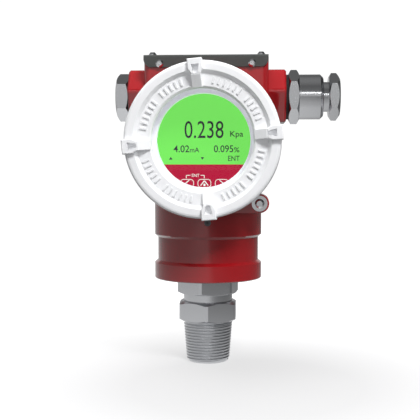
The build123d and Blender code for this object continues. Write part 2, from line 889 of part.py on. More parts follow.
def display_frame():
    """Moulded frame: a lip over the panels, a wall round them and a flange behind."""
    lip = display_face - display_lip
    inner = display_radius + slip
    wall = ring(display_frame_radius, inner, 0, module_flange_back - lip)
    lip_low = module_flange_back - display_face
    wall += ring(display_frame_radius, display_lip_radius, lip_low, module_flange_back - lip)
    wall += ring(display_flange_radius, inner, 0, display_flange_thick)
    body = across_y(wall, module_flange_back, 0, barrel_axis_height)
    hole = rod(module_screw_dia / 2 + slip, -over, display_flange_thick + over)
    notch = rod(module_screw_head_dia / 2 + module_head_gap, 0, module_head_notch)
    for x, z in module_places():
        body -= across_y(hole, module_flange_back, x, z)
        body -= across_y(notch, module_flange_front, x, z)
    return body


def display_disc():
    """The round stack of the two panels, before it is split."""
    return across_y(rod(display_radius, 0, panel_thick), panel_back, 0, barrel_axis_height)


def lcd_panel():
    """Upper part of the display face."""
    size = 4 * display_radius
    return display_disc() & (Pos(0, display_face, panel_split + size / 2) * Box(size, size, size))


def key_outline(x, grow):
    """Rounded outline of a key as seen from the front, grown by a margin."""
    outline = RectangleRounded(key_width + 2 * grow, key_height + 2 * grow, key_corner_radius + grow)
    return Pos(x, key_middle_height - barrel_axis_height) * outline


def key_places():
    """Middle of each key from left to right."""
    pitch = key_width + key_gap
    return (-pitch, 0.0, pitch)


def key_panel():
    """Lower part of the display face with a stepped window for each key."""
    size = 4 * display_radius
    panel = display_disc() & (Pos(0, display_face, panel_split - size / 2) * Box(size, size, size))
    foot_room = panel_thick - key_thick + key_foot_thick + key_foot_gap
    for x in key_places():
        window = extrude(key_outline(x, key_slip), panel_thick + 2 * over)
        recess = extrude(key_outline(x, key_slip + key_step), foot_room)
        panel -= across_y(Pos(0, 0, -over) * window, panel_back, 0, barrel_axis_height)
        panel -= across_y(recess, panel_back, 0, barrel_axis_height)
    return panel


def key(x):
    """A key with a thin foot that keeps it behind the panel."""
    rear = panel_back - (panel_thick - key_thick)
    cap = extrude(key_outline(x, 0), key_thick + key_proud)
    foot = extrude(key_outline(x, key_step), key_foot_thick)
    return across_y(cap + foot, rear, 0, barrel_axis_height)


def disc_with_holes(radius, hole, y_back):
    """A round board in front of y_back with the module's screw holes."""
    board = across_y(rod(radius, 0, board_thick), y_back, 0, barrel_axis_height)
    for x, z in module_places():
        board -= across_y(rod(hole, -over, board_thick + over), y_back, x, z)
    return board


def display_board():
    """Board behind the panels, inside the frame, with a snap dome under each key."""
    board = rod(display_radius, 0, board_thick)
    for x in key_places():
        dome = rod(key_dome_dia / 2, board_thick, board_thick + key_dome_height)
        board += Pos(x, key_middle_height - barrel_axis_height, 0) * dome
    return across_y(board, board_front_back, 0, barrel_axis_height)


def main_board():
    """Main electronics board on the partition's seats, with its tallest parts."""
    board = disc_with_holes(board_radius, module_screw_dia / 2 + slip, main_board_back)
    cell = board_radius / board_cells
    for x, z, width, height, rise in board_parts:
        part = Pos(x * cell, z * cell, 0) * extrude(Rectangle(width * cell, height * cell), rise * cell)
        board += across_y(part, main_board_front, 0, barrel_axis_height)
    return board


def module_posts():
    """Three posts between the main board and the display frame."""
    length = main_board_front - module_flange_back
    post = ring(module_post_dia / 2, module_screw_dia / 2 + slip, 0, length)
    return [across_y(post, main_board_front, x, z) for x, z in module_places()]


def module_screws():
    """Three long screws through the frame, the posts and the main board."""
    bite = partition_front + module_screw_bite - module_flange_front
    screw = pan_screw(module_screw_dia, module_screw_head_dia, module_screw_head, bite)
    return [across_y(screw, module_flange_front, x, z) for x, z in module_places()]


def block_ears():
    """Screw places at the two ends of the terminal block as (x, z)."""
    x = (block_width - block_ear_width) / 2
    return ((-x, block_centre_height), (x, block_centre_height))


def terminal_places():
    """Middle of each terminal along X."""
    first = -(terminal_count - 1) / 2 * terminal_pitch
    return [first + index * terminal_pitch for index in range(terminal_count)]


def toward_rear(shape, y, x, z):
    """Stand a shape drawn about Z so that its height runs along +Y from y."""
    return Plane(origin=(x, y, z), x_dir=(-1, 0, 0), z_dir=(0, 1, 0)).location * shape


def terminal_block():
    """Moulded block with a slot for each terminal and a low ear at each end."""
    body = block(block_core_width, block_height, 0, block_depth)
    body += block(block_width, block_ear_width, 0, block_shelf)
    step_low = block_shelf + block_lid_step
    step = block(block_core_width + over, block_lid_height, step_low, block_depth + over)
    body -= Pos(0, (block_height - block_lid_height) / 2, 0) * step
    floor = block_depth - terminal_slot_depth
    slot_height = block_height - 2 * terminal_slot_margin
    slot = block(terminal_slot_width, slot_height, floor, block_depth + over)
    hole_low = floor - terminal_screw_bite - terminal_tap_gap
    slot += rod(terminal_screw_dia / 2 + slip, hole_low, block_depth)
    for x in terminal_places():
        body -= Pos(-x, -terminal_offset, 0) * slot
    for x, _ in block_ears():
        body -= Pos(-x, 0, 0) * rod(block_screw_dia / 2 + slip, -over, block_shelf + over)
    return toward_rear(body, partition_back, 0, block_centre_height)


def terminal_seat():
    """Y of the floor that the terminal clamps lie on, and its height above the axis."""
    return partition_back + block_depth - terminal_slot_depth, block_centre_height - terminal_offset


def terminal_clamps():
    """One square clamp plate in each slot."""
    y, z = terminal_seat()
    plate = block(clamp_width, clamp_width, 0, clamp_thick)
    plate -= rod(terminal_screw_dia / 2 + slip, -over, clamp_thick + over)
    return [toward_rear(plate, y, x, z) for x in terminal_places()]


def terminal_screws():
    """One screw through each clamp plate."""
    y, z = terminal_seat()
    head = terminal_screw_head
    screw = pan_screw(terminal_screw_dia, terminal_screw_head_dia, head, terminal_screw_bite)
    return [toward_rear(screw, y + clamp_thick, x, z) for x in terminal_places()]


def block_screws():
    """Two screws that hold the terminal block to the partition."""
    bite = block_shelf + partition_thick - tap_floor - tap_end_gap
    screw = pan_screw(block_screw_dia, block_screw_head_dia, block_screw_head, bite)
    return [toward_rear(screw, partition_back + block_shelf, x, z) for x, z in block_ears()]


def inner_ground_screw():
    """Ground screw on the partition in the terminal chamber."""
    bite = partition_thick - tap_floor - tap_end_gap
    screw = pan_screw(block_screw_dia, block_screw_head_dia, block_screw_head, bite)
    return toward_rear(screw, partition_back, inner_ground_x, inner_ground_height)


def feed_through():
    """Sealed bush through the partition with a ring of pins."""
    radius = feed_through_dia / 2
    body = rod(radius, -partition_thick, 0)
    body += rod(radius + feed_flange_width, 0, feed_flange_thick)
    pin = Pos(feed_pin_circle, 0, 0) * rod(feed_pin_dia / 2, 0, feed_flange_thick + feed_pin_reach)
    for index in range(feed_pin_count):
        body += Rot(0, 0, index * 360 / feed_pin_count) * pin
    return toward_rear(body, partition_back, 0, feed_through_height)


def blanking_plug():
    """Hexagon head and a threaded shank, about Z outwards."""
    low = plug_head_gap
    body = hexagon(plug_flats, low, low + plug_head_length, hexagon_turn, plug_hex_cuts)
    body += rod(shank_radius, -shank_length, low)
    return body - ring(shank_radius + over, shank_radius - plug_seal_groove, -boss_seat_depth, 0)


def plug_seal():
    """O-ring under the plug's head."""
    inner = shank_radius - plug_seal_groove + ring_lift
    height = -boss_seat_depth + plug_seal_dia / 2 + ring_lift
    return o_ring(inner, inner + plug_seal_dia, height)


def gland_seal():
    """Flat washer under the gland's hexagon."""
    return ring(gland_seal_dia / 2, shank_radius + slip, -boss_seat_depth, gland_seal_proud)


def gland_body():
    """Threaded shank, hexagon and round barrel in one piece, bored for the cable."""
    body = rod(shank_radius, -shank_length, gland_hex_start)
    body += hexagon(gland_flats, gland_hex_start, gland_barrel_start, hexagon_turn, gland_hex_cuts)
    barrel = gland_barrel_dia / 2
    cut = gland_barrel_chamfer
    points = [(0, gland_barrel_start), (barrel, gland_barrel_start), (barrel, gland_end - cut)]
    points += [(barrel - cut, gland_end), (0, gland_end)]
    body += turned(points)
    body -= rod(gland_way_dia / 2, -shank_length - over, gland_end)
    return body - rod(gland_socket_dia / 2, gland_socket_floor, gland_end + over)


def gland_grommet():
    """Rubber sleeve that grips the cable, on the floor of the gland's socket."""
    outer = gland_socket_dia / 2 - grommet_gap
    return ring(outer, grommet_hole_dia / 2, gland_socket_floor, grommet_end)


def gland_slip_ring():
    """Thin ring on the nut's nose, between the nut and the grommet."""
    outer = nut_shank_dia / 2 - slip_ring_gap
    return ring(outer, cable_hole_dia / 2, nut_nose - slip_ring_thick, nut_nose)


def gland_nut():
    """Compression nut: threaded shank and hexagon, with the cable hole through it."""
    high = nut_start + nut_hex_length
    body = rod(nut_shank_dia / 2, nut_nose, nut_start)
    body += hexagon(nut_flats, nut_start, high, hexagon_turn, nut_hex_cuts, nut_hex_slope)
    hole = cable_hole_dia / 2
    mouth = hole + cable_hole_chamfer
    points = [(0, nut_nose - over), (hole, nut_nose - over), (hole, high - cable_hole_chamfer)]
    points += [(mouth, high), (mouth, high + over), (0, high + over)]
    return body - turned(points)


def top_plate():
    """Folded sheet over the saddle, with a flange down the front and the back."""
    inner = saddle_half_depth
    outer = inner + plate_thick
    width = 2 * plate_half_width
    sheet = Pos(0, 0, plate_top - plate_drop) * extrude(Rectangle(width, 2 * outer), plate_drop)
    bends = sheet.edges().filter_by(Axis.X).group_by(Axis.Z)[-1]
    sheet = fillet(bends, plate_bend_radius)
    corners = sheet.edges().filter_by(Axis.Y).group_by(Axis.Z)[0]
    sheet = fillet(corners, plate_corner_radius)
    room = extrude(Rectangle(width + 2 * over, 2 * inner), plate_drop)
    sheet -= Pos(0, 0, saddle_top - plate_drop) * room
    for side in (-1, 1):
        x = side * plate_screw_x
        for y in (-plate_screw_y, plate_screw_y):
            sheet -= Pos(x, y, saddle_top) * rod(plate_screw_dia / 2 + slip, -over, plate_thick + over)
        hole = rod(flange_screw_dia / 2 + slip, -2 * outer - over, over)
        sheet -= across_y(hole, -outer, side * flange_screw_x, flange_screw_height)
    return sheet


def plate_screws():
    """Four pan head screws on top of the plate."""
    screw = pan_screw(plate_screw_dia, plate_screw_head_dia, plate_screw_head, plate_screw_bite)
    screws = []
    for x in (-plate_screw_x, plate_screw_x):
        for y in (-plate_screw_y, plate_screw_y):
            screws.append(Pos(x, y, plate_top) * screw)
    return screws


def flange_screws():
    """Two small screws in the plate's front flange and two in its rear flange."""
    screw = pan_screw(flange_screw_dia, flange_screw_head_dia, flange_screw_head, plate_screw_bite)
    y = -saddle_half_depth - plate_thick
    front = [across_y(screw, y, x, flange_screw_height) for x in (-flange_screw_x, flange_screw_x)]
    return front + [Rot(0, 0, 180) * piece for piece in front]


def ground_washer():
    """Flat washer under the ground screw."""
    washer = ring(ground_washer_dia / 2, ground_screw_dia / 2 + slip, 0, ground_washer_thick)
    return across_y(washer, ground_front, ground_x, ground_z)


def ground_screw():
    """Pan head ground screw with a cross recess."""
    bite = ground_screw_bite - ground_tap_gap
    screw = pan_screw(ground_screw_dia, ground_screw_head_dia, ground_screw_head, bite)
    return across_y(screw, ground_front - ground_washer_thick, ground_x, ground_z)


def cover_lock_screws():
    """Small set screws under the front and rear covers."""
    front = across_y(set_screw(), lock_screw_sink - neck_band_dia / 2, cover_lock_x, cover_lock_height)
    return [front, Rot(0, 0, 180) * front]


def housing_lock_screw():
    """Set screw at the back of the neck that holds the housing's turn."""
    front = across_y(set_screw(), lock_screw_sink - neck_band_dia / 2, 0, housing_lock_height)
    return Rot(0, 0, 180) * front


def nodes():
    """Every piece by its node name."""
    left, middle, right = key_places()
    return {
        "process_adapter": process_adapter(),
        "adapter_gasket": adapter_gasket(),
        "sensor_body": sensor_body(),
        "neck_o_ring": neck_seal(),
        "cell_o_ring": cell_seal(),
        "pressure_cell": pressure_cell(),
        "cell_retainer": cell_retainer(),
        "housing": housing(),
        "front_cover": placed(FRONT, cover(front_cover_depth, True)),
        "front_cover_o_ring": placed(FRONT, cover_seal()),
        "window_gasket": placed(FRONT, window_gasket()),
        "window_glass": placed(FRONT, window_glass()),
        "window_retainer": placed(FRONT, window_retainer()),
        "rear_cover": placed(REAR, cover(rear_cover_depth, False)),
        "rear_cover_o_ring": placed(REAR, cover_seal()),
        "display_frame": display_frame(),
        "lcd_panel": lcd_panel(),
        "key_panel": key_panel(),
        "key_left": key(left),
        "key_middle": key(middle),
        "key_right": key(right),
        "display_board": display_board(),
        "main_board": main_board(),
        "module_posts": module_posts(),
        "module_screws": module_screws(),
        "terminal_block": terminal_block(),
        "terminal_clamps": terminal_clamps(),
        "terminal_screws": terminal_screws(),
        "terminal_block_screws": block_screws(),
        "inner_ground_screw": inner_ground_screw(),
        "feed_through": feed_through(),
        "blanking_plug": placed(PLUG_SIDE, blanking_plug()),
        "plug_o_ring": placed(PLUG_SIDE, plug_seal()),
        "gland_seal_washer": placed(GLAND_SIDE, gland_seal()),
        "gland_body": placed(GLAND_SIDE, gland_body()),
        "gland_grommet": placed(GLAND_SIDE, gland_grommet()),
        "gland_slip_ring": placed(GLAND_SIDE, gland_slip_ring()),
        "gland_nut": placed(GLAND_SIDE, gland_nut()),
        "top_plate": top_plate(),
        "top_plate_screws": plate_screws(),
        "flange_screws": flange_screws(),
        "ground_washer": ground_washer(),
        "ground_screw": ground_screw(),
        "cover_lock_screws": cover_lock_screws(),
        "housing_lock_screw": housing_lock_screw(),
    }


def export_all():
    """Write one STEP file for each node."""
    os.makedirs("parts", exist_ok=True)
    for name, shape in nodes().items():
        if isinstance(shape, list):
            shape = Compound(children=shape)
        export_step(shape, f"parts/{name}.step")


export_all()
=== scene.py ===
import math

import bmesh
import bpy
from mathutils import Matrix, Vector


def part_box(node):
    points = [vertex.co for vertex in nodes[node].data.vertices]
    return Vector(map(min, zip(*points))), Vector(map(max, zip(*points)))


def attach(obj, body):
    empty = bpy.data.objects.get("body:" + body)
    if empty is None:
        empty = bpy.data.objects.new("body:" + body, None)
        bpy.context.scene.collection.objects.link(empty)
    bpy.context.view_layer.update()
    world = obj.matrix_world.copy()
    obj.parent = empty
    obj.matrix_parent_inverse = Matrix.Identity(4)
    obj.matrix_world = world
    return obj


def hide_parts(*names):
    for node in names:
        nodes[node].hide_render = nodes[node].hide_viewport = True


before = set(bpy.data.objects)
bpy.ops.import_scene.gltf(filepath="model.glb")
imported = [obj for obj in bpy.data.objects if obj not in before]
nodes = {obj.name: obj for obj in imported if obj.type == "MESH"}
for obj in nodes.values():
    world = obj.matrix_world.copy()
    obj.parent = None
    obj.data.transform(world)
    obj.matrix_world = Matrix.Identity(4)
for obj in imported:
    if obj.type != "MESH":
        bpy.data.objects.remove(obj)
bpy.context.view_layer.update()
scene = bpy.context.scene
MM = 0.001
BLACK = (0.0, 0.0, 0.0, 1.0)
WHITE = (1.0, 1.0, 1.0, 1.0)


def srgb(red, green, blue):
    """Linear colour from eight bit values, by the sRGB curve."""
    out = []
    for value in (red, green, blue):
        share = value / 255
        out.append(share / 12.92 if share <= 0.04045 else ((share + 0.055) / 1.055) ** 2.4)
    return (*out, 1.0)


def scaled(color, factor):
    """A colour made lighter or darker."""
    return (*[min(1.0, part * factor) for part in color[:3]], 1.0)


class Tree:
    """A node tree that is built up by short calls."""

    def __init__(self, owner):
        owner.use_nodes = True
        self.tree = owner.node_tree
        self.tree.nodes.clear()

    def link(self, output, socket):
        self.tree.links.new(output, socket)

    def put(self, value, socket):
        """Give a socket its value, or link it where the value is another node's output."""
        if isinstance(value, bpy.types.NodeSocket):
            self.link(value, socket)
        else:
            socket.default_value = value

    def add(self, kind, **inputs):
        """A node of one kind. Names of inputs have _ for a space."""
        node = self.tree.nodes.new(kind)
        for name, value in inputs.items():
            self.put(value, node.inputs[name.replace("_", " ")])
        return node

    def math(self, operation, first, second):
        """One sum on two numbers or outputs."""
        node = self.add("ShaderNodeMath")
        node.operation = operation
        self.put(first, node.inputs[0])
        self.put(second, node.inputs[1])
        return node.outputs[0]

    def length(self, vector):
        """The length of a vector output."""
        node = self.add("ShaderNodeVectorMath", Vector=vector)
        node.operation = "LENGTH"
        return node.outputs["Value"]

    def ranged(self, value, low, high, new_low, new_high):
        """A number taken from one range to another."""
        node = self.add("ShaderNodeMapRange", Value=value, From_Min=low, From_Max=high, To_Min=new_low,
                        To_Max=new_high)
        return node.outputs[0]

    def mix_color(self, share, first, second):
        """A colour between two. The node's colour sockets are inputs 6 and 7 and output 2."""
        node = self.add("ShaderNodeMix")
        node.data_type = "RGBA"
        for index, value in ((0, share), (6, first), (7, second)):
            self.put(value, node.inputs[index])
        return node.outputs[2]

    def mix_shader(self, share, first, second):
        """A shader node between two shader nodes."""
        node = self.add("ShaderNodeMixShader", Fac=share)
        self.link(first.outputs[0], node.inputs[1])
        self.link(second.outputs[0], node.inputs[2])
        return node

    def show(self, shader, kind="ShaderNodeOutputMaterial"):
        """Send a shader node to the output."""
        output = self.add(kind)
        self.link(shader.outputs[0], output.inputs["Surface"])


# Most of the noise lies between these two values
NOISE_LOW = 0.3
NOISE_HIGH = 0.7
# The cloud of colour and roughness is this much coarser than the grain
CLOUD_RATIO = 6
ROUGHNESS_SPREAD = 0.1
# Scale of the noise that draws turning marks, per metre
LATHE_SCALE = 2600.0
RELIEF_DISTANCE = 0.4 * MM
BEVEL_SAMPLES = 4
COAT_ROUGHNESS = 0.06


def surface(name, color, roughness, metallic=0.0, coat=0.0, coat_ior=1.5, specular=0.5, painted_glow=0.0,
            lit=1.0, tint=0.04, grain=450.0, bump=0.03, lines=None, edge=0.0):
    """A finish with a slight colour and roughness variation and a fine bump.

    The glow argument sets how strongly the colour glows, a painted light and no lamp, and lit the share of
    it that reflects light. lines is the axis along which turning marks follow each other, and edge the
    radius that softens the edges.
    """
    material = bpy.data.materials.new(name)
    tree = Tree(material)
    place = tree.add("ShaderNodeTexCoord").outputs["Object"]
    cloud = tree.add("ShaderNodeTexNoise", Vector=place, Scale=grain / CLOUD_RATIO, Detail=3.0).outputs[0]
    fine = tree.add("ShaderNodeTexNoise", Vector=place, Scale=grain, Detail=2.0).outputs[0]
    base = tree.mix_color(cloud, scaled(color, 1 - tint), scaled(color, 1 + tint))
    rough = tree.ranged(cloud, NOISE_LOW, NOISE_HIGH, roughness * (1 - ROUGHNESS_SPREAD),
                        roughness * (1 + ROUGHNESS_SPREAD))
    height = fine
    if lines:
        parts = tree.add("ShaderNodeSeparateXYZ", Vector=place)
        along = parts.outputs["XYZ".index(lines)]
        rings = tree.add("ShaderNodeTexNoise", Detail=2.0)
        rings.noise_dimensions = "1D"
        tree.link(tree.math("MULTIPLY", along, LATHE_SCALE), rings.inputs["W"])
        height = tree.math("ADD", fine, rings.outputs[0])
    relief = tree.add("ShaderNodeBump", Strength=bump, Distance=RELIEF_DISTANCE, Height=height)
    if edge:
        soft = tree.add("ShaderNodeBevel", Radius=edge)
        soft.samples = BEVEL_SAMPLES
        tree.link(soft.outputs[0], relief.inputs["Normal"])
    paint = tree.mix_color(lit, BLACK, base) if lit < 1 else base
    shader = tree.add("ShaderNodeBsdfPrincipled", Base_Color=paint, Roughness=rough, Metallic=metallic,
                      Coat_Weight=coat, Coat_Roughness=COAT_ROUGHNESS, Coat_IOR=coat_ior,
                      Specular_IOR_Level=specular, Normal=relief.outputs[0])
    # Painted light: the colour glows by itself
    if painted_glow:
        tree.link(base, shader.inputs["Emission Color"])
        shader.inputs["Emission Strength"].default_value = painted_glow
    tree.show(shader)
    return material


def clear_glass():
    """Slightly green glass that lets the light through to what is behind it."""
    material = bpy.data.materials.new("window_glass")
    tree = Tree(material)
    place = tree.add("ShaderNodeTexCoord").outputs["Object"]
    cloud = tree.add("ShaderNodeTexNoise", Vector=place, Scale=60.0, Detail=2.0).outputs[0]
    tint = tree.mix_color(cloud, (0.95, 1.0, 0.96, 1.0), (0.97, 1.0, 0.97, 1.0))
    relief = tree.add("ShaderNodeBump", Strength=0.01, Distance=0.1 * MM, Height=cloud)
    rough = tree.ranged(cloud, NOISE_LOW, NOISE_HIGH, 0.0, 0.01)
    glass = tree.add("ShaderNodeBsdfPrincipled", Base_Color=tint, Roughness=rough, IOR=1.25,
                     Transmission_Weight=1.0, Normal=relief.outputs[0])
    open_way = tree.add("ShaderNodeBsdfTransparent", Color=tint)
    path = tree.add("ShaderNodeLightPath")
    share = tree.math("MAXIMUM", path.outputs["Is Shadow Ray"], path.outputs["Is Diffuse Ray"])
    tree.show(tree.mix_shader(share, glass, open_way))
    return material


STEEL = (0.60, 0.61, 0.63, 1.0)
looks = {
    "steel_up": dict(color=STEEL, roughness=0.22, metallic=1.0, lines="Z", edge=0.25 * MM),
    "steel_thread": dict(color=STEEL, roughness=0.30, metallic=1.0, grain=150.0, bump=0.004),
    # This steel is lighter than the other steel: a painted highlight that brightens the gland and the
    # blanking plug
    "steel_side_painted_bright": dict(color=(0.65, 0.66, 0.68, 1.0), roughness=0.16, metallic=1.0, lines="X",
                       edge=0.15 * MM),
    "steel_screw": dict(color=(0.72, 0.73, 0.75, 1.0), roughness=0.2, metallic=1.0, bump=0.04),
    # The plate's near-black colour is a painted reflection: it stands in for the dark surroundings that its
    # bright steel mirrors
    "plate_painted_dark": dict(color=(0.075, 0.08, 0.077, 1.0), roughness=0.45, metallic=0.3, bump=0.05,
                        edge=0.1 * MM),
    "steel_inner": dict(color=(0.5, 0.5, 0.52, 1.0), roughness=0.35, metallic=1.0, bump=0.05),
    "steel_dark": dict(color=(0.1, 0.1, 0.105, 1.0), roughness=0.4, metallic=1.0, bump=0.05),
    "red_enamel": dict(color=(0.36, 0.008, 0.012, 1.0), roughness=0.22, metallic=0.1, coat=1.0,
                       coat_ior=1.65, specular=0.2, grain=700.0, bump=0.01, edge=0.3 * MM),
    # The white enamel glows slightly: painted light that lifts the covers' shaded rim, steps and recesses
    "white_enamel": dict(color=(0.86, 0.865, 0.88, 1.0), roughness=0.4, coat=0.5, painted_glow=0.09,
                         tint=0.01, grain=700.0, bump=0.02, edge=0.25 * MM),
    # The ring glows: painted light that lifts a ring lying in shade, and its lilac tint is a painted
    # reflection of the crimson keys
    "retainer": dict(color=(0.80, 0.75, 0.86, 1.0), roughness=0.35, painted_glow=0.45),
    "black_rubber": dict(color=(0.02, 0.02, 0.021, 1.0), roughness=0.6, bump=0.1),
    "black_plastic": dict(color=(0.03, 0.03, 0.032, 1.0), roughness=0.45, bump=0.08),
    # The display and the keys glow, and only a fifth of their colour reflects light: painted light that
    # keeps them bright down in the well behind the glass
    "lcd_face": dict(color=srgb(120, 232, 94), roughness=0.35, specular=0.1, painted_glow=0.85, lit=0.2,
                     tint=0.01, bump=0.01),
    "crimson_face": dict(color=srgb(186, 12, 58), roughness=0.35, specular=0.1, painted_glow=0.8, lit=0.2,
                         tint=0.02, bump=0.02),
    "board_green": dict(color=(0.02, 0.16, 0.06, 1.0), roughness=0.4, bump=0.06),
    "brass_part": dict(color=(0.75, 0.55, 0.25, 1.0), roughness=0.25, metallic=1.0, bump=0.04),
    "lcd_digits": dict(color=(0.035, 0.018, 0.05, 1.0), roughness=0.5, specular=0.1, bump=0.01),
    # The print on the keys glows slightly: painted light that keeps the lines bright
    "key_print": dict(color=(0.80, 0.82, 0.82, 1.0), roughness=0.5, painted_glow=0.15, bump=0.01),
}
finishes = {name: surface(name, **look) for name, look in looks.items()}
finishes["glass_pane"] = clear_glass()

nodes_of_finish = {
    "steel_up": ("sensor_body", "process_adapter"),
    "steel_inner": ("pressure_cell", "cell_retainer"),
    "steel_side_painted_bright": ("gland_body", "gland_nut", "gland_slip_ring", "blanking_plug"),
    "steel_screw": ("ground_washer", "ground_screw", "inner_ground_screw", "housing_lock_screw",
                    "module_screws", "terminal_screws", "terminal_block_screws", "top_plate_screws",
                    "flange_screws"),
    "steel_dark": ("cover_lock_screws",),
    "plate_painted_dark": ("top_plate",),
    "red_enamel": ("housing",),
    "white_enamel": ("front_cover", "rear_cover"),
    "retainer": ("window_retainer",),
    "glass_pane": ("window_glass",),
    "black_rubber": ("window_gasket", "adapter_gasket", "neck_o_ring", "cell_o_ring", "plug_o_ring",
                     "front_cover_o_ring", "rear_cover_o_ring", "gland_seal_washer", "gland_grommet"),
    "black_plastic": ("display_frame", "terminal_block"),
    "lcd_face": ("lcd_panel",),
    "crimson_face": ("key_panel", "key_left", "key_middle", "key_right"),
    "board_green": ("display_board", "main_board"),
    "brass_part": ("module_posts", "terminal_clamps", "feed_through"),
}
finish_of = {node: finish for finish, names in nodes_of_finish.items() for node in names}


def paint_nodes():
    """Give each CAD node its finish."""
    for name, node in nodes.items():
        node.data.materials.clear()
        node.data.materials.append(finishes[finish_of[name]])


def new_piece(name, mesh, finish, body):
    """A new mesh piece that rides on a body."""
    piece = bpy.data.objects.new(name, mesh)
    scene.collection.objects.link(piece)
    mesh.materials.clear()
    mesh.materials.append(finishes[finish])
    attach(piece, body)
    return piece


# The adapter's cone, chamfer and port are as in the CAD. It is cut off just under the hexagon
THREAD_LENGTH = 20.0 * MM
THREAD_TOP = 19.99 * MM
THREAD_SMALL = 10.45 * MM
THREAD_BIG = 12.0 * MM
CHAMFER = 1.2 * MM
PORT_RADIUS = 4.0 * MM
# The ridges' pitch is measured in the photo. They fade in over the run in and out over the run out
THREAD_PITCH = 1.39 * MM
THREAD_DEPTH = 0.75 * MM
THREAD_RUN_IN = 0.9 * MM
THREAD_RUN_OUT = 1.0 * MM
# Share of the pitch and share of the depth along one ridge, from root to root
RIDGE = ((0.0, 1.0), (0.12, 1.0), (0.42, 0.0), (0.58, 0.0), (0.88, 1.0))
THREAD_COLUMNS = 96
# Edges that bend by more degrees than this stay sharp
SHARP_ANGLE = 28.0
CUT_DISTANCE = 1e-7
JOIN_DISTANCE = 1e-6


def crest_radius(z):
    """Radius over the ridges, which follows the end chamfer and then the taper."""
    if z < CHAMFER:
        return THREAD_SMALL - CHAMFER + z
    return THREAD_SMALL + (THREAD_BIG - THREAD_SMALL) * (z - CHAMFER) / (THREAD_LENGTH - CHAMFER)


def ridge_share(z):
    """How deep the ridges are cut: they run out at both ends."""
    return max(0.0, min(1.0, z / THREAD_RUN_IN, (THREAD_TOP - z) / THREAD_RUN_OUT))


def thread_rows():
    """Rows of points that follow the helix and are held between the lower end and the cut."""
    rows = []
    turns = math.ceil(THREAD_TOP / THREAD_PITCH)
    for turn in range(-1, turns + 1):
        for step, depth in RIDGE:
            row = []
            for column in range(THREAD_COLUMNS + 1):
                share = column / THREAD_COLUMNS
                z = max(0.0, min(THREAD_TOP, (turn + step + share) * THREAD_PITCH))
                radius = crest_radius(z) - THREAD_DEPTH * depth * ridge_share(z)
                row.append((radius, z))
            rows.append(row)
    return rows


def build_adapter():
    """The process adapter with real ridges on its taper thread."""
    mesh = bmesh.new()
    mesh.from_mesh(nodes["process_adapter"].data)
    parts = mesh.verts[:] + mesh.edges[:] + mesh.faces[:]
    bmesh.ops.bisect_plane(mesh, geom=parts, dist=CUT_DISTANCE, plane_co=(0, 0, THREAD_TOP),
                           plane_no=(0, 0, 1), clear_inner=True)
    rows = [[(PORT_RADIUS, z)] * (THREAD_COLUMNS + 1) for z in (THREAD_TOP, 0.0)]
    rows += thread_rows()
    grid = []
    for row in rows:
        line = []
        for column, (radius, z) in enumerate(row):
            angle = 2 * math.pi * column / THREAD_COLUMNS
            line.append(mesh.verts.new((radius * math.cos(angle), radius * math.sin(angle), z)))
        grid.append(line)
    new_verts = [vert for line in grid for vert in line]
    for low, high in zip(grid, grid[1:]):
        for column in range(THREAD_COLUMNS):
            corners = (low[column], low[column + 1], high[column + 1], high[column])
            mesh.faces.new(corners)
    bmesh.ops.remove_doubles(mesh, verts=new_verts, dist=JOIN_DISTANCE)
    made = bpy.data.meshes.new("threaded_adapter")
    mesh.to_mesh(made)
    mesh.free()
    made.shade_smooth()
    made.set_sharp_from_angle(angle=math.radians(SHARP_ANGLE))
    piece = new_piece("threaded_adapter", made, "steel_thread", "sensor_base")
    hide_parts("process_adapter")


# Radius of the hole as the photo shows it. The CAD ring's is 22.8 mm
RETAINER_HOLE = 21.0 * MM


def narrow_retainer():
    """The window's retaining ring with a smaller hole, so that it shows all round behind the glass."""
    low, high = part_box("window_retainer")
    middle = (low + high) / 2
    outer = (high.x - low.x) / 2
    made = nodes["window_retainer"].data.copy()
    made.name = "window_ring"
    offsets = [Vector((vert.co.x - middle.x, vert.co.z - middle.z)) for vert in made.vertices]
    hole = min(offset.length for offset in offsets)
    for vert, offset in zip(made.vertices, offsets):
        if offset.length < (hole + outer) / 2:
            offset *= RETAINER_HOLE / offset.length
            vert.co.x = middle.x + offset.x
            vert.co.z = middle.z + offset.y
    piece = new_piece("window_ring", made, "retainer", "front_cover")
    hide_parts("window_retainer")


# Where the printing lies, a hair in front of the display's face and of the keys' faces
DISPLAY_Y = -26.53 * MM
KEY_Y = -26.78 * MM
TEXT_RESOLUTION = 4
CORNER_STEPS = 5
DISC_CORNERS = 16

# Of each text on the display: name, characters, left, right, low and high side in mm, and stroke weight
TEXTS = (
    ("reading", "0.238", -9.06, 8.68, 107.7, 115.5, 0.0),
    ("reading_unit", "Kpa", 11.7, 17.6, 107.6, 110.9, 0.008),
    ("loop_current", "4.02", -14.1, -6.9, 101.3, 104.5, 0.008),
    ("loop_unit", "mA", -6.6, -2.4, 101.3, 103.5, 0.006),
    ("share", "0.095", 4.3, 13.1, 101.3, 104.5, 0.008),
    ("percent", "%", 13.4, 15.9, 101.3, 103.6, 0.006),
    ("enter_word", "ENT", 10.8, 16.0, 97.4, 99.7, 0.006),
)
# Corners in mm of the small marks that point up and down
ARROW_MARKS = (
    ((-16.15, 98.0), (-14.6, 98.0), (-15.38, 99.25)),
    ((-1.7, 99.1), (-0.2, 99.1), (-0.95, 97.9)),
)
KEY_SPACING = 7.9
KEY_MIDDLE_Z = 87.2


